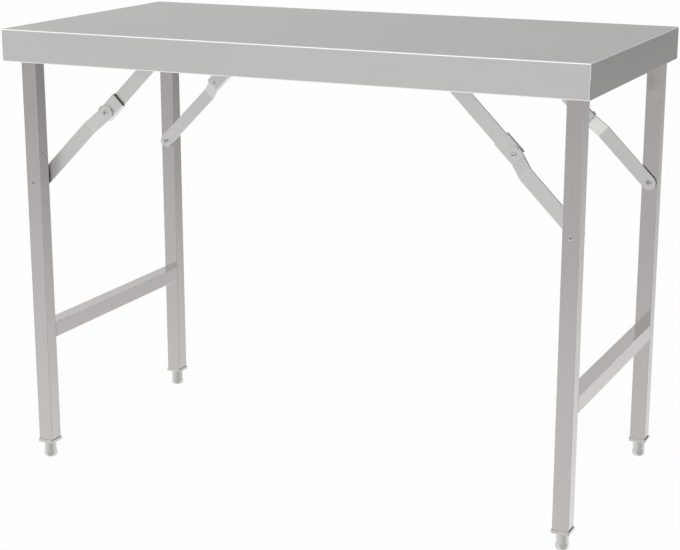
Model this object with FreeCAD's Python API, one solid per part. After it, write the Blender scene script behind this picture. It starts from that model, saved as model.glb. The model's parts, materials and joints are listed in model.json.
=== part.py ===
import FreeCAD, Part
import math
import os

# Folding work table of sheet steel: a tray-shaped top on two leg frames that fold up into it.
# The left frame folds first, close under the sheet, and the right frame folds below it.
# Each frame is held upright by two knee stays that run at 45 degrees up into the top.
# Millimetres; X along the table, Y to the back, Z up; the origin is on the floor under the middle.

# Overall size
table_length = 1200.0
table_width = 600.0
table_height = 900.0

# Top: one sheet bent down at four sides, with its lower edge turned in
sheet_thickness = 1.2
apron_depth = 64.0
lip_width = 12.0
top_bend_radius = 3.0
lip_bend_radius = 2.2
apron_corner_radius = 2.5

# Hat-section stiffeners under the sheet, two rows, broken where the left crossbar folds in
stiffener_sheet = 1.2
stiffener_depth = 16.0
stiffener_crown = 36.0
stiffener_foot = 14.0
stiffener_row_spacing = 220.0
stiffener_end_gap = 34.0
stiffener_crossbar_gap = 10.0

# Leg frames: square tube legs and one crossbar each
tube_size = 32.0
tube_wall = 1.2
tube_corner_radius = 1.5
left_frame_inset = 45.5
right_frame_inset = 31.0
frame_side_inset = 36.5
crossbar_height = 276.0
stay_pivot_drop = 309.0

# Feet: flanged sockets in the tube ends and screw feet in the sockets
flange_size = 36.0
flange_thickness = 6.0
flange_corner_radius = 3.0
socket_plug_length = 28.0
socket_fit_clearance = 0.1
foot_height = 35.5
foot_barrel_diameter = 24.4
foot_collar_diameter = 26.4
foot_collar_height = 13.0
foot_edge_radius = 8.0
foot_spanner_size = 23.4
foot_spanner_flats = 6
foot_stem_diameter = 10.0
foot_stem_length = 36.0

# Leg hinges: an inverted U bracket under the sheet, a bolt, a nut and a bush through each leg
bracket_sheet = 2.0
bracket_bend_radius = 3.0
hinge_bracket_length = 52.0
hinge_ear_radius = 12.0
hinge_side_clearance = 0.5
hinge_bolt_diameter = 8.0
hinge_bush_diameter = 12.0
bolt_head_across_flats = 13.0
bolt_head_height = 5.3
nut_height = 6.5
bolt_end_length = 2.0

# Knee stays: flat bars, with a joggled lower bar and a channel round the end of the upper bar
stay_width = 28.5
stay_thickness = 4.0
stay_end_corner = 4.0
upper_stay_offset = 27.5
joggle_run = 31.0
tongue_shoulder = 11.0
joggle_bend_radius = 7.0
channel_sheet = 2.0
channel_bend_radius = 2.6
channel_gap = 4.0
channel_length = 45.5
channel_tail = 7.5
stop_ear_length = 9.0
stop_ear_rise = 0.6

# Stay pivots: washers and rivets
washer_thickness = 3.0
washer_diameter = 18.0
pivot_diameter = 8.0
pivot_head_diameter = 13.0
pivot_head_height = 3.0
pivot_button_diameter = 9.0
pivot_button_height = 1.2
knee_rivet_diameter = 6.0
knee_head_diameter = 11.0
knee_head_height = 2.5
knee_tail_height = 0.8
knee_collar_diameter = 10.0
stay_bracket_length = 44.0
stay_ear_radius = 12.0

# Clearances, and the overrun of cuts
running_clearance = 0.05
face_clearance = 0.1
slide_clearance = 0.3
top_clearance = 0.3
fold_clearance = 0.5
cut_overrun = 5.0

# Levels, worked out from the sizes above
sheet_underside = table_height - sheet_thickness
apron_bottom = table_height - apron_depth
leg_bottom = foot_height + flange_thickness
stay_pivot_height = table_height - stay_pivot_drop
left_fold_room = max(flange_size / 2, bracket_sheet + tube_size / 2)
left_hinge_height = sheet_underside - top_clearance - left_fold_room
right_hinge_height = left_hinge_height - tube_size / 2 - flange_size / 2 - fold_clearance

# Places across the table, as distances from the middle plane y = 0
leg_depth = table_width / 2 - frame_side_inset
leg_inner = leg_depth - tube_size / 2
leg_outer = leg_depth + tube_size / 2
lower_outer = leg_inner - washer_thickness - face_clearance
lower_inner = lower_outer - stay_thickness
upper_outer = leg_inner - upper_stay_offset
upper_inner = upper_outer - stay_thickness

half_width = stay_width / 2
diagonal = math.sqrt(0.5)
V = FreeCAD.Vector
origin = V(0, 0, 0)
axis_x = V(1, 0, 0)
axis_z = V(0, 0, 1)

# One entry per side: the frame's place, its hinge height and the way towards the middle of the table
sides = {
    "left": {
        "x": left_frame_inset - table_length / 2,
        "hinge": left_hinge_height,
        "inward": 1,
    },
    "right": {
        "x": table_length / 2 - right_frame_inset,
        "hinge": right_hinge_height,
        "inward": -1,
    },
}
rows = {"front": -1, "back": 1}
nodes = {}


def add(name, *solids):
    nodes.setdefault(name, []).extend(solids)


def block(x0, x1, y0, y1, z0, z1):
    return Part.makeBox(x1 - x0, y1 - y0, z1 - z0, V(x0, y0, z0))


def rod_along_y(x, z, radius, y0, y1):
    return Part.makeCylinder(radius, abs(y1 - y0), V(x, min(y0, y1), z), V(0, 1, 0))


# A closed wire from a start point and steps: (end,) is a line and (middle, end) is an arc
def closed_wire(start, steps):
    edges = []
    here = start
    for step in steps:
        if len(step) == 1:
            edges.append(Part.LineSegment(here, step[0]).toShape())
        else:
            edges.append(Part.Arc(here, step[0], step[1]).toShape())
        here = step[-1]
    return Part.Wire(edges)


def prism(start, steps, reach):
    return Part.Face(closed_wire(start, steps)).extrude(reach)


# A square bar with rounded long edges, standing on z0 about a vertical axis
def rounded_square(x, y, size, corner, z0, z1):
    bar = block(x - size / 2, x + size / 2, y - size / 2, y + size / 2, z0, z1)
    upright = [edge for edge in bar.Edges if abs(edge.tangentAt(edge.FirstParameter).z) > diagonal]
    return bar.makeFillet(corner, upright)


def square_tube(length):
    outside = rounded_square(0, 0, tube_size, tube_corner_radius, 0, length)
    bore = rounded_square(0, 0, tube_size - tube_wall * 2, tube_corner_radius - tube_wall,
                          -cut_overrun, length + cut_overrun)
    return outside.cut(bore)


# A domed rivet head on the plane y = face, standing out towards way (+1 or -1)
def domed_head(x, z, face, way, diameter, height):
    radius = diameter / 2
    ball = (radius ** 2 + height ** 2) / (height * 2)
    half_angle = math.asin(radius / ball) / 2
    middle = V(ball * math.sin(half_angle), 0, height - ball + ball * math.cos(half_angle))
    outline = closed_wire(origin, [(V(radius, 0, 0),), (middle, V(0, 0, height)), (origin,)])
    head = Part.Face(outline).revolve(origin, axis_z, 360)
    head.rotate(origin, axis_x, -90 * way)
    head.translate(V(x, face, z))
    return head


def joined(first, *others):
    return first.multiFuse(list(others)).removeSplitter()


# Worktop: the tray of bent sheet
def worktop_pan():
    outside = block(-table_length / 2, table_length / 2, -table_width / 2, table_width / 2,
                    apron_bottom, table_height)
    inside = block(sheet_thickness - table_length / 2, table_length / 2 - sheet_thickness,
                   sheet_thickness - table_width / 2, table_width / 2 - sheet_thickness,
                   apron_bottom + sheet_thickness, sheet_underside)
    shells = []
    for body, inset in ((outside, 0), (inside, sheet_thickness)):
        middle_z = (apron_bottom + table_height) / 2
        corners = [e for e in body.Edges if abs(e.CenterOfMass.z - middle_z) < apron_depth / 4]
        body = body.makeFillet(apron_corner_radius - inset, corners)
        top_z = table_height - inset
        low_z = apron_bottom + inset
        top_edges = [e for e in body.Edges if abs(e.BoundBox.ZMin - top_z) < running_clearance]
        body = body.makeFillet(top_bend_radius - inset, top_edges)
        low_edges = [e for e in body.Edges if abs(e.BoundBox.ZMax - low_z) < running_clearance]
        shells.append(body.makeFillet(lip_bend_radius - inset, low_edges))
    mouth_x = table_length / 2 - sheet_thickness - lip_width
    mouth_y = table_width / 2 - sheet_thickness - lip_width
    mouth = block(-mouth_x, mouth_x, -mouth_y, mouth_y,
                  apron_bottom - cut_overrun, apron_bottom + cut_overrun)
    return shells[0].cut(shells[1]).cut(mouth)


# A hat-section stiffener from x0 to x1, hanging from the underside of the sheet
def stiffener(x0, x1, y):
    crown = stiffener_crown / 2
    reach = crown + stiffener_foot
    low = sheet_underside - stiffener_depth
    hat = [(-reach, sheet_underside), (reach, sheet_underside),
           (reach, sheet_underside - stiffener_sheet), (crown, sheet_underside - stiffener_sheet),
           (crown, low), (-crown, low),
           (-crown, sheet_underside - stiffener_sheet), (-reach, sheet_underside - stiffener_sheet)]
    points = [V(x0, y + across, z) for across, z in hat]
    body = prism(points[0], [(p,) for p in points[1:] + points[:1]], V(x1 - x0, 0, 0))
    hollow = block(x0 - cut_overrun, x1 + cut_overrun,
                   y - crown + stiffener_sheet, y + crown - stiffener_sheet,
                   low + stiffener_sheet, sheet_underside + cut_overrun)
    return body.cut(hollow)


# An inverted U bracket about a cross hole at (x, z), its two ears inner and outer from the middle plane
def ear_bracket(x, z, row, inner, outer, length, ear_radius):
    side_a = min(row * inner, row * outer)
    side_b = max(row * inner, row * outer)
    body = block(x - length / 2, x + length / 2, side_a - bracket_sheet, side_b + bracket_sheet,
                 z - ear_radius, sheet_underside)
    shoulders = [e for e in body.Edges
                 if abs(e.BoundBox.ZMin - sheet_underside) < running_clearance
                 and e.BoundBox.XLength > length / 2]
    body = body.makeFillet(bracket_bend_radius, shoulders)
    slot = block(x - length, x + length, side_a, side_b,
                 z - ear_radius - cut_overrun, sheet_underside - bracket_sheet)
    web_low = sheet_underside - bracket_sheet - bracket_bend_radius
    face_y = side_a - bracket_sheet - cut_overrun
    span = V(0, side_b - side_a + (bracket_sheet + cut_overrun) * 2, 0)
    start = V(x - length / 2, face_y, sheet_underside)
    outline = prism(start, [
        (V(x + length / 2, face_y, sheet_underside),),
        (V(x + length / 2, face_y, web_low),),
        (V(x + ear_radius, face_y, z),),
        (V(x, face_y, z - ear_radius), V(x - ear_radius, face_y, z)),
        (V(x - length / 2, face_y, web_low),),
        (start,),
    ], span)
    return body.cut(slot).common(outline)


def hexagon(x, z, across_flats, y0, y1):
    radius = across_flats / math.sqrt(3)
    points = []
    for corner in range(6):
        turn = math.radians(60 * corner)
        points.append(V(x + radius * math.cos(turn), y0, z + radius * math.sin(turn)))
    return prism(points[0], [(p,) for p in points[1:] + points[:1]], V(0, y1 - y0, 0))


# Leg hinge: bracket, bolt and nut on the top, bush in the leg
def leg_hinge(side, side_name, row, row_name):
    x = side["x"]
    z = side["hinge"]
    inner = leg_inner - hinge_side_clearance
    outer = leg_outer + hinge_side_clearance
    hole = rod_along_y(x, z, hinge_bolt_diameter / 2 + running_clearance,
                       row * (inner - bracket_sheet - nut_height - cut_overrun),
                       row * (outer + bracket_sheet + cut_overrun))
    bracket = ear_bracket(x, z, row, inner, outer, hinge_bracket_length, hinge_ear_radius)
    add(f"hinge_bracket_{side_name}_{row_name}", bracket.cut(hole))

    head_face = row * (outer + bracket_sheet)
    nut_face = row * (inner - bracket_sheet)
    head = hexagon(x, z, bolt_head_across_flats, head_face, head_face + row * bolt_head_height)
    shank = rod_along_y(x, z, hinge_bolt_diameter / 2, head_face,
                        nut_face - row * (nut_height + bolt_end_length))
    add("hinge_bolts", joined(head, shank))
    nut = hexagon(x, z, bolt_head_across_flats, nut_face, nut_face - row * nut_height)
    add("hinge_nuts", nut.cut(hole))
    bush = rod_along_y(x, z, hinge_bush_diameter / 2, row * leg_inner, row * leg_outer)
    add(f"{side_name}_hinge_bushes", bush.cut(hole))


# One leg: a tube with a half-round top about the hinge and cross holes for bush and stay pivot
def leg(side, row):
    x = side["x"]
    y = row * leg_depth
    top = side["hinge"] + tube_size / 2
    tube = square_tube(top - leg_bottom)
    tube.translate(V(x, y, leg_bottom))
    below = block(x - tube_size, x + tube_size, y - tube_size, y + tube_size, 0, side["hinge"])
    crown = rod_along_y(x, side["hinge"], tube_size / 2, y - tube_size, y + tube_size)
    tube = tube.common(joined(below, crown))
    bush_hole = rod_along_y(x, side["hinge"], hinge_bush_diameter / 2 + running_clearance,
                            y - tube_size, y + tube_size)
    pivot_hole = rod_along_y(x, stay_pivot_height, pivot_diameter / 2 + running_clearance,
                             y - tube_size, y + tube_size)
    return tube.cut(bush_hole).cut(pivot_hole)


def crossbar(side):
    bar = square_tube(leg_inner * 2)
    bar.rotate(origin, axis_x, -90)
    bar.translate(V(side["x"], -leg_inner, crossbar_height))
    return bar


# Foot socket: a square flange under the tube end, with a plug up inside the tube
def foot_socket(x, y):
    flange = rounded_square(x, y, flange_size, flange_corner_radius, foot_height, leg_bottom)
    plug_size = (tube_size - tube_wall * 2) - socket_fit_clearance * 2
    plug_corner = tube_corner_radius - tube_wall
    plug = rounded_square(x, y, plug_size, plug_corner, leg_bottom, leg_bottom + socket_plug_length)
    bore = Part.makeCylinder(foot_stem_diameter / 2 + running_clearance,
                             flange_thickness + socket_plug_length + cut_overrun * 2,
                             V(x, y, foot_height - cut_overrun))
    return joined(flange, plug).cut(bore)


# Screw foot: a turned barrel over a collar with spanner flats and a rounded edge, and a plain stem
def screw_foot(x, y):
    barrel = foot_barrel_diameter / 2
    collar = foot_collar_diameter / 2
    stem = foot_stem_diameter / 2
    pad = collar - foot_edge_radius
    edge_middle = V(pad + foot_edge_radius * diagonal, 0, foot_edge_radius * (1 - diagonal))
    barrel_top = foot_height - face_clearance
    stem_top = foot_height + foot_stem_length
    outline = closed_wire(origin, [
        (V(pad, 0, 0),),
        (edge_middle, V(collar, 0, foot_edge_radius)),
        (V(collar, 0, foot_collar_height),),
        (V(barrel, 0, foot_collar_height),),
        (V(barrel, 0, barrel_top),),
        (V(stem, 0, barrel_top),),
        (V(stem, 0, stem_top),),
        (V(0, 0, stem_top),),
        (origin,),
    ])
    foot = Part.Face(outline).revolve(origin, axis_z, 360)
    for flat in range(foot_spanner_flats):
        cutter = block(foot_spanner_size / 2, foot_collar_diameter,
                       -foot_collar_diameter, foot_collar_diameter, -cut_overrun, foot_collar_height)
        cutter.rotate(origin, axis_z, 360 / foot_spanner_flats * flat)
        foot = foot.cut(cutter)
    foot.translate(V(x, y, 0))
    return foot


# Stays. A place on a stay is (along, across, depth): along from the leg pivot towards the top,
# across towards the leg's upper end, and depth from the middle plane of the table.
def stay_place(side, row, along, across, depth):
    return V(side["x"] + side["inward"] * (along - across) * diagonal,
             row * depth,
             stay_pivot_height + (along + across) * diagonal)


# The length of each bar between its pivots, and the depth of the lower bar's tongue
def stay_sizes(side, channel_outside):
    link = (side["hinge"] - stay_pivot_height) * diagonal
    seat = upper_outer
    if channel_outside:
        seat = upper_outer + channel_gap + channel_sheet
    return link, seat + slide_clearance


# The lower bar's side view, with two bends that bring its tongue inboard to the knee
def lower_stay(side, row, link, tongue_inner):
    half = stay_thickness / 2
    bar_depth = lower_inner + half
    tongue_depth = tongue_inner + half
    knee_bend = link - tongue_shoulder
    leg_bend = knee_bend - joggle_run
    slope = math.atan2(bar_depth - tongue_depth, joggle_run)
    tangent = joggle_bend_radius * math.tan(slope / 2)
    outer_radius = joggle_bend_radius + half
    inner_radius = joggle_bend_radius - half
    first = (leg_bend - tangent, bar_depth - joggle_bend_radius)
    second = (knee_bend + tangent, tongue_depth + joggle_bend_radius)

    def bend(centre, radius, turn):
        return centre[0] + radius * math.sin(turn), centre[1] + radius * math.cos(turn)

    def place(spot):
        return stay_place(side, row, spot[0], -half_width, spot[1])

    start = (-half_width, bar_depth + half)
    profile = prism(place(start), [
        (place(bend(first, outer_radius, 0)),),
        (place(bend(first, outer_radius, slope / 2)), place(bend(first, outer_radius, slope))),
        (place(bend(second, -inner_radius, slope)),),
        (place(bend(second, -inner_radius, slope / 2)), place(bend(second, -inner_radius, 0))),
        (place((link + half_width, tongue_depth + half)),),
        (place((link + half_width, tongue_depth - half)),),
        (place(bend(second, -outer_radius, 0)),),
        (place(bend(second, -outer_radius, slope / 2)), place(bend(second, -outer_radius, slope))),
        (place(bend(first, inner_radius, slope)),),
        (place(bend(first, inner_radius, slope / 2)), place(bend(first, inner_radius, 0))),
        (place((-half_width, bar_depth - half)),),
        (place(start),),
    ], stay_place(side, row, 0, stay_width, 0) - stay_place(side, row, 0, 0, 0))
    return profile.common(round_ended(side, row, 0, link, tongue_inner - cut_overrun,
                                      lower_outer + cut_overrun))


# A flat bar between two pivots with full round ends
def round_ended(side, row, start, end, depth_a, depth_b):
    def place(along, across):
        return stay_place(side, row, along, across, depth_a)
    return prism(place(start, -half_width), [
        (place(end, -half_width),),
        (place(end + half_width, 0), place(end, half_width)),
        (place(start, half_width),),
        (place(start - half_width, 0), place(start, -half_width)),
    ], V(0, row * (depth_b - depth_a), 0))


def stay_block(side, row, along_a, along_b, across_a, across_b, depth_a, depth_b):
    def place(along, across):
        return stay_place(side, row, along, across, depth_a)
    start = place(along_a, across_a)
    return prism(start, [(place(along_b, across_a),), (place(along_b, across_b),),
                         (place(along_a, across_b),), (start,)],
                 V(0, row * (depth_b - depth_a), 0))


# The upper bar: rounded at the bracket, square with small corners at the knee
def upper_stay(side, row, link):
    tail = link - channel_tail
    bar = round_ended(side, row, tail, link * 2, upper_inner, upper_outer)
    bar = bar.cut(stay_block(side, row, tail - stay_width, tail, -stay_width, stay_width,
                             upper_inner - cut_overrun, upper_outer + cut_overrun))
    corners = []
    for across in (-half_width, half_width):
        spot = stay_place(side, row, tail, across, (upper_inner + upper_outer) / 2)
        corners += [e for e in bar.Edges if (e.CenterOfMass - spot).Length < running_clearance]
    return bar.makeFillet(stay_end_corner, corners)


# The knee channel: its base lies off one face of the upper bar and its flanges hold the bar's edges
def knee_channel(side, row, link, channel_outside, tongue_outer):
    start = link - channel_tail
    end = start + channel_length
    reach = half_width + channel_sheet
    if channel_outside:
        base = upper_outer + channel_gap + channel_sheet
        rim = upper_inner
        way = 1
    else:
        base = upper_inner - channel_gap - channel_sheet
        rim = upper_outer
        way = -1
    inner_bend = channel_bend_radius - channel_sheet

    def place(across, depth):
        return stay_place(side, row, start, across, depth)

    def corner(across_way, radius):
        centre_across = across_way * (reach - channel_bend_radius)
        centre_depth = base - way * channel_bend_radius
        return place(centre_across + across_way * radius * diagonal,
                     centre_depth + way * radius * diagonal)

    floor = base - way * channel_sheet
    profile = [
        (place(-reach, base - way * channel_bend_radius),),
        (corner(-1, channel_bend_radius), place(channel_bend_radius - reach, base)),
        (place(reach - channel_bend_radius, base),),
        (corner(1, channel_bend_radius), place(reach, base - way * channel_bend_radius)),
        (place(reach, rim),),
        (place(half_width, rim),),
        (place(half_width, floor - way * inner_bend),),
        (corner(1, inner_bend), place(half_width - inner_bend, floor)),
        (place(inner_bend - half_width, floor),),
        (corner(-1, inner_bend), place(-half_width, floor - way * inner_bend)),
        (place(-half_width, rim),),
        (place(-reach, rim),),
    ]
    lengthways = stay_place(side, row, end, 0, 0) - stay_place(side, row, start, 0, 0)
    channel = prism(place(-reach, rim), profile, lengthways)
    ear_foot = upper_inner
    if channel_outside:
        ear_foot = upper_outer
    ear = stay_block(side, row, start, start + stop_ear_length, half_width + slide_clearance,
                     reach + slide_clearance, ear_foot, tongue_outer + stop_ear_rise)
    return joined(channel, ear)


# One whole stay with its bracket, pin, knee rivet, washer and parted leg pivot
def stay(side, side_name, row, row_name):
    corner = f"{side_name}_{row_name}"
    channel_outside = side["inward"] * row < 0
    link, tongue_inner = stay_sizes(side, channel_outside)
    tongue_outer = tongue_inner + stay_thickness
    leg_spot = stay_place(side, row, 0, 0, 0)
    knee_spot = stay_place(side, row, link, 0, 0)
    top_spot = stay_place(side, row, link * 2, 0, 0)

    def drilled(solid, spot, diameter, clearance):
        hole = rod_along_y(spot.x, spot.z, diameter / 2 + clearance, 0, row * table_width)
        return solid.cut(hole)

    def pin(spot, diameter, depth_a, depth_b):
        return rod_along_y(spot.x, spot.z, diameter / 2, row * depth_a, row * depth_b)

    def head(spot, depth, way, diameter, height):
        return domed_head(spot.x, spot.z, row * depth, row * way, diameter, height)

    lower = lower_stay(side, row, link, tongue_inner)
    lower = drilled(lower, leg_spot, pivot_diameter, running_clearance)
    add(f"{corner}_lower_stay", drilled(lower, knee_spot, knee_rivet_diameter, running_clearance))
    upper = drilled(upper_stay(side, row, link), knee_spot, knee_rivet_diameter, running_clearance)
    add(f"{corner}_upper_stay", drilled(upper, top_spot, pivot_diameter, running_clearance))
    channel = knee_channel(side, row, link, channel_outside, tongue_outer)
    add(f"{corner}_knee_channel", drilled(channel, knee_spot, knee_rivet_diameter, running_clearance))

    # The knee rivet, with a collar that keeps the channel's base off the bar
    if channel_outside:
        tail_depth = upper_inner
        collar = (upper_outer, upper_outer + channel_gap)
    else:
        tail_depth = upper_inner - channel_gap - channel_sheet
        collar = (upper_inner - channel_gap, upper_inner)
    rivet_end = tongue_outer + face_clearance
    add(f"{corner}_knee_rivet",
        joined(pin(knee_spot, knee_rivet_diameter, tail_depth, rivet_end),
               pin(knee_spot, knee_collar_diameter, collar[0], collar[1]),
               head(knee_spot, tail_depth, -1, knee_head_diameter, knee_tail_height),
               head(knee_spot, rivet_end, 1, knee_head_diameter, knee_head_height)))

    # The leg pivot is parted at the washer's face: its shank stays in the leg, its head in the bar
    washer_face = leg_inner - washer_thickness
    washer = pin(leg_spot, washer_diameter, washer_face, leg_inner)
    add(f"{side_name}_stay_washers", drilled(washer, leg_spot, pivot_diameter, running_clearance))
    add(f"{side_name}_stay_pivots",
        joined(pin(leg_spot, pivot_diameter, washer_face, leg_outer),
               head(leg_spot, leg_outer, 1, pivot_button_diameter, pivot_button_height)))
    add(f"{corner}_stay_pivot_head",
        joined(pin(leg_spot, pivot_diameter, lower_inner, lower_outer),
               head(leg_spot, lower_inner, -1, pivot_head_diameter, pivot_head_height)))

    ear_inner = upper_inner - slide_clearance
    ear_outer = upper_outer + slide_clearance
    bracket = ear_bracket(top_spot.x, top_spot.z, row, ear_inner, ear_outer,
                          stay_bracket_length, stay_ear_radius)
    add(f"stay_bracket_{corner}", drilled(bracket, top_spot, pivot_diameter, running_clearance))
    pin_a = ear_inner - bracket_sheet
    pin_b = ear_outer + bracket_sheet
    add("stay_bracket_pins",
        joined(pin(top_spot, pivot_diameter, pin_a, pin_b),
               head(top_spot, pin_a, -1, pivot_head_diameter, pivot_head_height),
               head(top_spot, pin_b, 1, pivot_head_diameter, pivot_head_height)))


add("worktop_pan", worktop_pan())

left_side = sides["left"]
crossbar_fold_x = left_side["x"] + left_side["hinge"] - crossbar_height
crossbar_room = tube_size / 2 + stiffener_crossbar_gap
stiffener_reach = table_length / 2 - sheet_thickness - stiffener_end_gap
for row_name, row in rows.items():
    row_y = row * stiffener_row_spacing / 2
    add(f"stiffener_{row_name}_left",
        stiffener(-stiffener_reach, crossbar_fold_x - crossbar_room, row_y))
    add(f"stiffener_{row_name}_right",
        stiffener(crossbar_fold_x + crossbar_room, stiffener_reach, row_y))

for side_name, side in sides.items():
    add(f"{side_name}_crossbar", crossbar(side))
    for row_name, row in rows.items():
        foot_place = (side["x"], row * leg_depth)
        add(f"{side_name}_{row_name}_leg", leg(side, row))
        add(f"{side_name}_{row_name}_foot_socket", foot_socket(*foot_place))
        add(f"{side_name}_{row_name}_foot", screw_foot(*foot_place))
        leg_hinge(side, side_name, row, row_name)
        stay(side, side_name, row, row_name)

os.makedirs("parts", exist_ok=True)
for name, solids in nodes.items():
    shape = solids[0] if len(solids) == 1 else Part.makeCompound(solids)
    shape.exportStep(f"parts/{name}.step")
print(f"{len(nodes)} nodes, hinge heights {left_hinge_height:.1f} and {right_hinge_height:.1f}")
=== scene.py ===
import bpy
import json
import math
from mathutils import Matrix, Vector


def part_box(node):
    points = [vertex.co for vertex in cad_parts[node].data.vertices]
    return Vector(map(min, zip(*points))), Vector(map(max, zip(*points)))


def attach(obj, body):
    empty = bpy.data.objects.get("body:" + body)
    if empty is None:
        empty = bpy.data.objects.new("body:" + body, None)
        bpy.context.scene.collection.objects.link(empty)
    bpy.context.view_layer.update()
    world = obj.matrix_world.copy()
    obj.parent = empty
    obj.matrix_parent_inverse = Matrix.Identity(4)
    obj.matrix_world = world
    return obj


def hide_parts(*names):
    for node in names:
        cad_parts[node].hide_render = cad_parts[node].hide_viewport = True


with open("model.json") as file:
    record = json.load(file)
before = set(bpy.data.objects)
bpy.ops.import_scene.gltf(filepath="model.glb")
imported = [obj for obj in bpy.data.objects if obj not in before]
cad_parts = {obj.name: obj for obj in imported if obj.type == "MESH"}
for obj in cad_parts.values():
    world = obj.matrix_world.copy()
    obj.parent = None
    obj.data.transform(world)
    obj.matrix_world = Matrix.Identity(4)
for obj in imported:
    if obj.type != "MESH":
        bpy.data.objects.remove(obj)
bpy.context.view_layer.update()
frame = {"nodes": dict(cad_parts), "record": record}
nodes = frame["nodes"]
print("frame loaded:", len(nodes), "nodes")


# camera, at the photograph's angle

cameraSet = {
    "place": (1.3997, -3.0123, 1.2786),
    "tilt": 75.083,    # degrees from straight down
    "turn": 24.985,    # degrees to the left
    "lens": 88.53,
    "sensor": 36.0,
}


def addCamera():
    data = bpy.data.cameras.new("camera")
    data.lens = cameraSet["lens"]
    data.sensor_width = cameraSet["sensor"]
    data.sensor_fit = "HORIZONTAL"
    camera = bpy.data.objects.new("camera", data)
    camera.location = cameraSet["place"]
    camera.rotation_euler = (math.radians(cameraSet["tilt"]), 0, math.radians(cameraSet["turn"]))
    bpy.context.scene.collection.objects.link(camera)
    bpy.context.scene.camera = camera


# small helpers for node trees

def freshTree(name):
    material = bpy.data.materials.new(name)
    material.use_nodes = True
    tree = material.node_tree
    tree.nodes.clear()
    return material, tree


# an input is a socket to link or a plain value; settings are the node's own properties
def addNode(tree, kind, inputs=None, **settings):
    node = tree.nodes.new("ShaderNode" + kind)
    for name, value in settings.items():
        setattr(node, name, value)
    for name, value in (inputs or {}).items():
        if isinstance(value, bpy.types.NodeSocket):
            tree.links.new(value, node.inputs[name])
        else:
            node.inputs[name].default_value = value
    return node.outputs


def addMath(tree, operation, *values):
    return addNode(tree, "Math", dict(enumerate(values)), operation=operation)["Value"]


def addRange(tree, value, source=(0.0, 1.0), target=(0.0, 1.0), kind="LINEAR"):
    inputs = {
        "Value": value,
        "From Min": source[0],
        "From Max": source[1],
        "To Min": target[0],
        "To Max": target[1],
    }
    return addNode(tree, "MapRange", inputs, interpolation_type=kind)["Result"]


def softStep(tree, value, edges, target=(0.0, 1.0)):
    return addRange(tree, value, edges, target, "SMOOTHSTEP")


def blendValue(tree, share, first, second):
    return addNode(tree, "Mix", {"Factor": share, "A": first, "B": second})["Result"]


def blendColour(tree, share, first, second, kind="MIX"):
    inputs = {"Factor": share, "A": first, "B": second}
    return addNode(tree, "Mix", inputs, data_type="RGBA", blend_type=kind)["Result"]


# grey levels at places from -1 to 1
def levelRamp(tree, place, levels):
    ramp = tree.nodes.new("ShaderNodeValToRGB")
    stops = ramp.color_ramp.elements
    steps = sorted(levels.items())
    while len(stops) < len(steps):
        stops.new(1.0)
    for stop, (spot, level) in zip(stops, steps):
        stop.position = (spot + 1) / 2
        stop.color = (level, level, level, 1)
    tree.links.new(addRange(tree, place, (-1.0, 1.0)), ramp.inputs["Fac"])
    return ramp.outputs["Color"]


# floor, room and lamps

white = (1, 1, 1, 1)

floorSet = {
    "size": 80.0,
    "colour": (0.92, 0.92, 0.92, 1),
    "cloudScale": 0.35,
    "cloudDetail": 2.0,
    "cloudDepth": 0.01,
    "glow": 0.95,    # share of plain white behind the object
}

# brightness of the room by height (sine of the elevation): in front, behind, and in a dark corner
# behind on the right
roomSet = {
    "front": {
        -1.0: 1.1, -0.8: 1.1, -0.6: 0.98, -0.4: 0.82, -0.32: 0.78, -0.25: 0.66, -0.18: 0.62, -0.13: 0.56,
        0.0: 0.74, 0.16: 0.92, 0.3: 0.8, 0.45: 0.7, 0.58: 0.9, 0.7: 1.5, 0.82: 1.4, 1.0: 0.6,
    },
    "back": {
        -1.0: 1.1, -0.6: 0.95, -0.5: 0.95, -0.42: 1.12, -0.34: 1.0, -0.14: 0.62,
        0.0: 0.6, 0.16: 0.68, 0.3: 0.8, 0.45: 0.66, 1.0: 0.45,
    },
    "corner": {
        -1.0: 0.9, -0.4: 0.92, -0.31: 0.77, -0.13: 0.34, 0.0: 0.15, 0.3: 0.14, 0.6: 0.25, 1.0: 0.45,
    },
    "frontToBack": (-0.45, 0.35),
    "cornerWay": (0.75, 0.66, 0.0),
    # share of the corner, by how straight a ray points its way
    "cornerShare": {0.1: 0.0, 0.42: 0.2, 0.65: 0.25, 0.82: 0.48, 0.86: 0.4, 0.9: 0.45, 0.94: 0.93, 1.0: 1.0},
    # above these heights the corner spreads further to the left
    "cornerUpper": (-0.13, 0.03),
    "cornerAcross": {-0.2: 0.0, -0.1: 0.16, 0.0: 0.5, 0.1: 0.84, 0.2: 1.0, 0.25: 1.0, 0.33: 0.0},
    "backdrop": 0.97,    # what the camera sees past the floor's edge
}

# the room's brightness is multiplied by these, by height again
accentSet = {
    "frontRight": {    # dim in a band below the horizon and in one above it
        "way": (0.8, -0.6, 0.0),
        "edges": (0.4, 0.95),
        "levels": {
            -1.0: 1.4, -0.62: 1.4, -0.5: 0.75, -0.3: 0.75, -0.2: 1.1,
            0.15: 1.1, 0.3: 0.3, 0.55: 0.3, 0.75: 1.1,
        },
    },
    "frontLeft": {    # a little lighter below the horizon
        "way": (-0.85, -0.53, 0.0),
        "edges": (0.72, 0.9),
        "levels": {-1.0: 1.0, -0.5: 1.0, -0.4: 1.1, -0.32: 1.13, -0.24: 1.15, -0.16: 1.0},
    },
}

lampSet = {
    "sunStrength": 0.35,
    "sunAngle": 80.0,
    "sunTilt": (18.0, -12.0, 0.0),
}


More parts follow.
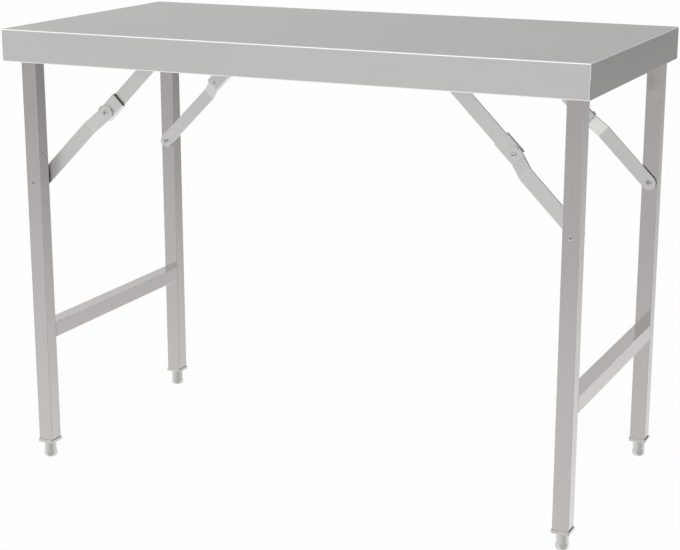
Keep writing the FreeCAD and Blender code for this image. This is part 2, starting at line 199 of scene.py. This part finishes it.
def floorPaint():
    material, tree = freshTree("floorPaint")
    depth = floorSet["cloudDepth"]
    cloud = addNode(tree, "TexNoise", {
        "Vector": addNode(tree, "TexCoord")["Object"],
        "Scale": floorSet["cloudScale"],
        "Detail": floorSet["cloudDetail"],
    })
    swing = addRange(tree, cloud["Fac"], target=(-depth, depth))
    tone = addNode(tree, "BrightContrast", {"Color": floorSet["colour"], "Bright": swing})
    paint = addNode(tree, "BsdfDiffuse", {"Color": tone["Color"]})
    glow = addNode(tree, "Emission", {"Color": white, "Strength": 1.0})
    rays = addNode(tree, "LightPath")
    mirrored = addMath(tree, "MAXIMUM", rays["Is Glossy Ray"], rays["Is Transmission Ray"])
    seen = addMath(tree, "MAXIMUM", rays["Is Camera Ray"], mirrored)
    share = addMath(tree, "MULTIPLY", seen, floorSet["glow"])
    mix = addNode(tree, "MixShader", {"Fac": share, 1: paint["BSDF"], 2: glow["Emission"]})
    addNode(tree, "OutputMaterial", {"Surface": mix["Shader"]})
    return material


# the steel mirrors the room and not the floor
def addFloor():
    bpy.ops.object.select_all(action="DESELECT")
    bpy.ops.mesh.primitive_plane_add(size=floorSet["size"])
    floor = bpy.context.object
    floor.name = "studioFloor"
    floor.data.materials.append(floorPaint())
    floor.visible_glossy = False
    floor.visible_shadow = False


# how straight a ray points the given way
def pointing(tree, ray, way):
    return addNode(tree, "VectorMath", {0: ray, 1: way}, operation="DOT_PRODUCT")["Value"]


def addRoom():
    world = bpy.data.worlds.new("studioRoom")
    world.use_nodes = True
    tree = world.node_tree
    tree.nodes.clear()
    ray = addNode(tree, "TexCoord")["Generated"]
    parts = addNode(tree, "SeparateXYZ", {"Vector": ray})
    front, back, dark = [levelRamp(tree, parts["Z"], roomSet[side]) for side in ("front", "back", "corner")]
    behind = softStep(tree, parts["Y"], roomSet["frontToBack"])
    inCorner = levelRamp(tree, pointing(tree, ray, roomSet["cornerWay"]), roomSet["cornerShare"])
    raised = softStep(tree, parts["Z"], roomSet["cornerUpper"])
    rightward = levelRamp(tree, parts["X"], roomSet["cornerAcross"])
    upper = addMath(tree, "MULTIPLY", raised, rightward)
    upperBack = addMath(tree, "MULTIPLY", upper, behind)
    corner = addMath(tree, "MAXIMUM", inCorner, upperBack)
    walls = blendColour(tree, behind, front, back)
    room = blendColour(tree, corner, walls, dark)
    factors = []
    for accent in accentSet.values():
        levels = levelRamp(tree, parts["Z"], accent["levels"])
        factors.append(softStep(tree, pointing(tree, ray, accent["way"]), accent["edges"], (1.0, levels)))
    strength = addMath(tree, "MULTIPLY", *factors)
    light = addNode(tree, "Background", {"Color": room, "Strength": strength})
    backdrop = addNode(tree, "Background", {"Color": white, "Strength": roomSet["backdrop"]})
    view = addNode(tree, "MixShader", {
        "Fac": addNode(tree, "LightPath")["Is Camera Ray"],
        1: light["Background"],
        2: backdrop["Background"],
    })
    addNode(tree, "OutputWorld", {"Surface": view["Shader"]})
    bpy.context.scene.world = world


def addLamps():
    sun = bpy.data.lights.new("overheadSky", "SUN")
    sun.energy = lampSet["sunStrength"]
    sun.angle = math.radians(lampSet["sunAngle"])
    sunObject = bpy.data.objects.new("overheadSky", sun)
    sunObject.rotation_euler = [math.radians(t) for t in lampSet["sunTilt"]]
    bpy.context.scene.collection.objects.link(sunObject)


addCamera()
addFloor()
addRoom()
addLamps()
bpy.context.scene.view_settings.view_transform = "Standard"
print("stage set")


# finishes: stainless steel with a fine grain along each piece

finishes = {
    "sheet": {
        "colour": (0.668, 0.668, 0.662), "rough": 0.4, "grain": (6, 900, 900), "depth": 0.12,
        "bendRough": 0.8,
        "bendColour": (0.92, 0.92, 0.915, 1),    # painted highlight, lightening the bends
        # share of the painted highlight on the bends
        "bendShare": 0.8,
        "endShade": 0.76,    # painted shade darkening the sheet's two ends, where the grain also runs down
        "endFacing": (0.6, 0.8),
    },
    "pressed": {"colour": (0.60, 0.60, 0.59), "rough": 0.45, "grain": (6, 500, 500), "depth": 0.14},
    "legTube": {
        "colour": (0.615, 0.592, 0.58), "rough": 0.1, "grain": (5, 700, 700), "depth": 0.03,
        "bendRough": 0.66,
    },
    "bar": {"colour": (0.725, 0.725, 0.72), "rough": 0.36, "grain": (6, 700, 700), "depth": 0.12},
    "foot": {"colour": (0.65, 0.645, 0.635), "rough": 0.12, "grain": (1500, 60, 60), "depth": 0.06},
    "kneeRivet": {"colour": (0.6, 0.6, 0.595), "rough": 0.22, "grain": (400, 400, 400), "depth": 0.03},
    "fastener": {"colour": (0.52, 0.52, 0.52), "rough": 0.24, "grain": (400, 400, 400), "depth": 0.03},
}
# the crossbars' corners are duller than the legs', and lightened with a painted highlight
finishes["crossTube"] = finishes["legTube"] | {"bendRough": 1.0, "bendColour": (0.94, 0.92, 0.91, 1)}

grainNoise = {"Scale": 1.0, "Detail": 4.0, "Roughness": 0.6}
cloudNoise = {"Scale": 5.0, "Detail": 3.0, "Roughness": 0.55}
smudgeNoise = {"Scale": 14.0, "Detail": 5.0, "Roughness": 0.6, "Distortion": 0.6}
grainBand = (0.25, 0.75)    # the part of the noise that is used
smudgeBand = (0.5, 0.75)
grainSwing = 0.04    # roughness along the grain
smudgeSwing = 0.03    # roughness of handling marks
tintSwing = 0.045    # brightness from line to line and in soft clouds
streakShare = 0.6    # of that swing, the part in fine lines
bumpHeight = 0.0004
# largest part of a normal along an axis, where a bend starts and where it is full
bendEdges = (0.998, 0.95)


# grain, colour and roughness of a plain face; turn brings the grain's X to the piece's length
def brushed(tree, look, place, grainPlace, turn=(0, 0, 0)):
    along = addNode(tree, "Mapping", {
        "Vector": grainPlace,
        "Rotation": [math.radians(t) for t in turn],
        "Scale": [1 / g for g in look["grain"]],
    }, vector_type="TEXTURE")
    grain = addNode(tree, "TexNoise", {"Vector": along["Vector"]} | grainNoise)["Fac"]
    cloud = addNode(tree, "TexNoise", {"Vector": place} | cloudNoise)["Fac"]
    smudge = addNode(tree, "TexNoise", {"Vector": place} | smudgeNoise)["Fac"]
    lines = addRange(tree, grain, grainBand, (look["rough"] - grainSwing, look["rough"] + grainSwing))
    marks = addRange(tree, smudge, smudgeBand, (0.0, smudgeSwing))
    rough = addMath(tree, "ADD", lines, marks)
    darker = (*[c * (1 - tintSwing) for c in look["colour"]], 1)
    lighter = (*[c * (1 + tintSwing) for c in look["colour"]], 1)
    colour = blendColour(tree, blendValue(tree, streakShare, cloud, grain), darker, lighter)
    return grain, colour, rough


# the part of a normal along each axis, and how far it leans away from all three
def bendMask(tree, normal):
    sizes = addNode(tree, "VectorMath", {0: normal}, operation="ABSOLUTE")
    facing = addNode(tree, "SeparateXYZ", {"Vector": sizes["Vector"]})
    sideways = addMath(tree, "MAXIMUM", facing["X"], facing["Y"])
    straight = addMath(tree, "MAXIMUM", sideways, facing["Z"])
    return facing, softStep(tree, straight, bendEdges)


def steelSurface(tree, look, grain, colour, rough):
    bump = addNode(tree, "Bump", {"Height": grain, "Strength": look["depth"], "Distance": bumpHeight})
    surface = addNode(tree, "BsdfPrincipled", {
        "Base Color": colour,
        "Roughness": rough,
        "Normal": bump["Normal"],
        "Metallic": 1.0,
    })
    addNode(tree, "OutputMaterial", {"Surface": surface["BSDF"]})


def steelFinish(name, look, turn=(0, 0, 0)):
    material, tree = freshTree(name)
    place = addNode(tree, "TexCoord")
    grain, colour, rough = brushed(tree, look, place["Object"], place["Object"], turn)
    if "bendRough" in look:
        bend = bendMask(tree, place["Normal"])[1]
        rough = blendValue(tree, bend, rough, look["bendRough"])
        # a painted highlight lightens the bends, where the look lists one
        if "bendColour" in look:
            colour = blendColour(tree, bend, colour, look["bendColour"])
    steelSurface(tree, look, grain, colour, rough)
    return material


# the top's sheet: the grain runs down its two ends, and the bends of those are dull; the ends carry painted
# shade and the bends a painted highlight
def sheetFinish(name, look):
    material, tree = freshTree(name)
    place = addNode(tree, "TexCoord")
    facing, bend = bendMask(tree, place["Normal"])
    ends = softStep(tree, facing["X"], look["endFacing"])
    parts = addNode(tree, "SeparateXYZ", {"Vector": place["Object"]})
    upright = addNode(tree, "CombineXYZ", {"X": parts["Z"], "Y": parts["Y"], "Z": parts["X"]})
    turned = {"Factor": ends, "A": place["Object"], "B": upright["Vector"]}
    grainPlace = addNode(tree, "Mix", turned, data_type="VECTOR")["Result"]
    grain, colour, rough = brushed(tree, look, place["Object"], grainPlace)
    atEnd = addMath(tree, "GREATER_THAN", facing["X"], facing["Y"])
    rough = blendValue(tree, addMath(tree, "MULTIPLY", atEnd, bend), rough, look["bendRough"])
    # painted shade: the sheet's two ends are darkened
    shade = look["endShade"]
    colour = blendColour(tree, ends, colour, (shade, shade, shade, 1), "MULTIPLY")
    # a painted highlight lightens every bend but the lower one of each end
    normal = addNode(tree, "SeparateXYZ", {"Vector": place["Normal"]})
    under = addMath(tree, "LESS_THAN", normal["Z"], 0.0)
    lowEnd = addMath(tree, "MULTIPLY", under, atEnd)
    highlightedShare = addMath(tree, "MULTIPLY_ADD", lowEnd, -look["bendShare"], look["bendShare"])
    colour = blendColour(tree, addMath(tree, "MULTIPLY", highlightedShare, bend), colour, look["bendColour"])
    steelSurface(tree, look, grain, colour, rough)
    return material


slotOf = {part["node"]: part["material_slot"] for part in frame["record"]["subparts"]}
bodyOf = {node: body for body, members in frame["record"]["behaviour"]["bodies"].items() for node in members}
steels = {
    "sheet": sheetFinish("topSheetSteel", finishes["sheet"]),
    "pressed": steelFinish("pressedSheetSteel", finishes["pressed"]),
    "legTube": steelFinish("legTubeSteel", finishes["legTube"], (0, 90, 0)),
    "crossTube": steelFinish("crossTubeSteel", finishes["crossTube"], (0, 0, 90)),
    "leftBar": steelFinish("leftBarSteel", finishes["bar"], (0, -45, 0)),
    "rightBar": steelFinish("rightBarSteel", finishes["bar"], (0, 45, 0)),
    "foot": steelFinish("turnedFootSteel", finishes["foot"], (0, 90, 0)),
    "kneeRivet": steelFinish("kneeRivetSteel", finishes["kneeRivet"]),
    "fastener": steelFinish("fastenerSteel", finishes["fastener"]),
}
steelOfSlot = {
    "worktop_sheet": "sheet",
    "pressed_sheet": "pressed",
    "turned_foot": "foot",
    "fastener": "fastener",
}


def steelFor(node):
    slot = slotOf[node]
    if slot == "frame_tube":
        return steels["crossTube" if node.endswith("crossbar") else "legTube"]
    if node.endswith("knee_rivet"):
        return steels["kneeRivet"]
    if slot == "stay_bar":
        return steels["leftBar" if node.startswith("left") else "rightBar"]
    return steels[steelOfSlot[slot]]


def dress(piece, node):
    piece.data.materials.clear()
    piece.data.materials.append(steelFor(node))


for node in nodes:
    dress(nodes[node], node)
print("finishes on", len(nodes), "nodes")


# pieces with softened edges, made from merged copies of the solids

# width of the softened edge, by the start or end of the nodes' names
edgeSet = {
    "upper_stay": 0.0006,
    "lower_stay": 0.0006,
    "knee_channel": 0.0004,
    "foot_socket": 0.0008,
    "hinge_bracket": 0.0004,
    "stay_bracket_left": 0.0004,
    "stay_bracket_right": 0.0004,
    "hinge_bolts": 0.0006,
    "hinge_nuts": 0.0006,
    "knee_rivet": 0.0003,
    "stay_pivots": 0.0002,
    "stay_pivot_head": 0.0003,
    "_foot": 0.0008,
}
edgeSteps = 2
mergeGap = 0.000002
flatAngle = 0.4    # degrees, below which neighbouring facets become one face
sharpAngle = 38.0


def only(piece):
    bpy.ops.object.select_all(action="DESELECT")
    bpy.context.view_layer.objects.active = piece
    piece.select_set(True)


def pieceName(node):
    first, *others = node.split("_")
    return first + "".join(word.capitalize() for word in others)


def mergedCopy(node):
    piece = bpy.data.objects.new(pieceName(node), nodes[node].data.copy())
    bpy.context.scene.collection.objects.link(piece)
    only(piece)
    bpy.ops.mesh.customdata_custom_splitnormals_clear()
    bpy.ops.object.mode_set(mode="EDIT")
    bpy.ops.mesh.select_all(action="SELECT")
    bpy.ops.mesh.remove_doubles(threshold=mergeGap)
    bpy.ops.mesh.dissolve_limited(angle_limit=math.radians(flatAngle))
    bpy.ops.object.mode_set(mode="OBJECT")
    return piece


def soften(piece, width):
    only(piece)
    bpy.ops.object.shade_smooth_by_angle(angle=math.radians(sharpAngle))
    edge = piece.modifiers.new("softEdge", "BEVEL")
    edge.width = width
    edge.segments = edgeSteps
    edge.limit_method = "ANGLE"
    edge.angle_limit = math.radians(sharpAngle)
    bpy.ops.object.modifier_apply(modifier="softEdge")
    flow = piece.modifiers.new("flatFaces", "WEIGHTED_NORMAL")
    flow.keep_sharp = True
    bpy.ops.object.modifier_apply(modifier="flatFaces")


def standFor(piece, node):
    dress(piece, node)
    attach(piece, bodyOf[node])
    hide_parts(node)


# drilled ends of the rivets: which way they face along Y from the table's middle, and how wide they are
rivetSet = {
    "knee_rivet": {"outward": True, "radius": 0.003, "depth": 0.003},
    "stay_pivots": {"outward": True, "radius": 0.0026, "depth": 0.004},
    "stay_pivot_head": {"outward": False, "radius": 0.0032, "depth": 0.003},
}
drillTaper = 0.6
drillSides = 24


# cuts a tapered drill mark into the domed end at each spot: (x, y of the face, z, which way it faces)
def drillEnds(piece, spots, look):
    for x, y, z, way in spots:
        bpy.ops.object.select_all(action="DESELECT")
        bpy.ops.mesh.primitive_cone_add(
            vertices=drillSides,
            radius1=look["radius"] * drillTaper,
            radius2=look["radius"],
            depth=look["depth"] * 2,
            location=(x, y, z),
            rotation=(math.radians(-90 * way), 0, 0),
        )
        drill = bpy.context.object
        only(piece)
        cut = piece.modifiers.new("drilled", "BOOLEAN")
        cut.object = drill
        cut.operation = "DIFFERENCE"
        cut.solver = "EXACT"
        bpy.ops.object.modifier_apply(modifier="drilled")
        only(drill)
        bpy.ops.object.delete()


def rivetSpots(node, outward):
    low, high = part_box(node)
    x, z = (low.x + high.x) / 2, (low.z + high.z) / 2
    if node.endswith("stay_pivots"):
        return [(x, low.y, z, -1), (x, high.y, z, 1)]
    if ("front" in node) == outward:
        return [(x, low.y, z, -1)]
    return [(x, high.y, z, 1)]


# screw feet: the turned barrel from the solid, on a threaded stem
footSet = {
    "stemRadius": 0.005,
    "stemRoot": 0.0043,
    "pitch": 0.0015,
    "turnSteps": 32,
    "spareTurns": 3,    # wound past the stem's ends and cut off
    "leadIn": 2.39,    # turns below the lower cut; no point of the thread lies on it
    "turnGap": 0.00001,    # within which one turn joins the next
    "bite": 0.0002,    # how far the stem goes into the barrel
    "shoulderRadius": 0.01,    # what lies outside this is barrel
}


def threadedStem(x, y, low, high):
    pitch = footSet["pitch"]
    bpy.ops.object.select_all(action="DESELECT")
    bpy.ops.mesh.primitive_circle_add(vertices=3, radius=pitch)
    stem = bpy.context.object
    profile = [
        (footSet["stemRoot"], 0, 0),
        (footSet["stemRadius"], 0, pitch / 2),
        (footSet["stemRoot"], 0, pitch),
    ]
    for vertex, spot in zip(stem.data.vertices, profile):
        vertex.co = spot
        vertex.select = False
    for edge in stem.data.edges:
        edge.select = set(edge.vertices) == {0, 2}    # the open side of the profile
    bpy.context.tool_settings.mesh_select_mode = (False, True, False)
    bpy.ops.object.mode_set(mode="EDIT")
    bpy.ops.mesh.delete(type="EDGE")
    bpy.ops.object.mode_set(mode="OBJECT")
    bpy.context.tool_settings.mesh_select_mode = (True, False, False)
    winding = stem.modifiers.new("winding", "SCREW")
    winding.screw_offset = pitch
    winding.iterations = math.ceil((high - low) / pitch) + footSet["spareTurns"]
    winding.steps = footSet["turnSteps"]
    winding.render_steps = footSet["turnSteps"]
    winding.use_merge_vertices = True
    winding.merge_threshold = footSet["turnGap"]
    bpy.ops.object.modifier_apply(modifier="winding")
    bpy.ops.object.mode_set(mode="EDIT")
    bpy.ops.mesh.select_all(action="SELECT")
    bpy.ops.mesh.remove_doubles(threshold=mergeGap)
    bpy.ops.transform.translate(value=(x, y, low - pitch * footSet["leadIn"]))
    bpy.ops.mesh.bisect(plane_co=(x, y, low), plane_no=(0, 0, 1), use_fill=True, clear_inner=True)
    bpy.ops.mesh.select_all(action="SELECT")
    bpy.ops.mesh.bisect(plane_co=(x, y, high), plane_no=(0, 0, 1), use_fill=True, clear_outer=True)
    bpy.ops.mesh.select_all(action="SELECT")
    bpy.ops.mesh.normals_make_consistent(inside=False)
    bpy.ops.object.mode_set(mode="OBJECT")
    bpy.ops.object.shade_smooth_by_angle(angle=math.radians(sharpAngle))
    return stem


def screwFoot(node):
    low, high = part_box(node)
    x, y = (low.x + high.x) / 2, (low.y + high.y) / 2
    piece = mergedCopy(node)
    barrel = [v.co.z for v in piece.data.vertices
              if math.hypot(v.co.x - x, v.co.y - y) > footSet["shoulderRadius"]]
    shoulder = max(barrel)
    bpy.ops.object.mode_set(mode="EDIT")
    bpy.ops.mesh.select_all(action="SELECT")
    bpy.ops.mesh.bisect(plane_co=(x, y, shoulder + footSet["bite"]), plane_no=(0, 0, 1),
                        use_fill=True, clear_outer=True)
    bpy.ops.object.mode_set(mode="OBJECT")
    soften(piece, edgeSet["_foot"])
    stem = threadedStem(x, y, shoulder - footSet["bite"], high.z)
    only(piece)
    stem.select_set(True)
    bpy.ops.object.join()
    return piece


softened = 0
for node in sorted(nodes):
    for kind, width in edgeSet.items():
        if node.startswith(kind) or node.endswith(kind):
            if kind == "_foot":
                piece = screwFoot(node)
            else:
                piece = mergedCopy(node)
                if kind in rivetSet:
                    drillEnds(piece, rivetSpots(node, rivetSet[kind]["outward"]), rivetSet[kind])
                soften(piece, width)
            standFor(piece, node)
            softened += 1
print("softened pieces:", softened)
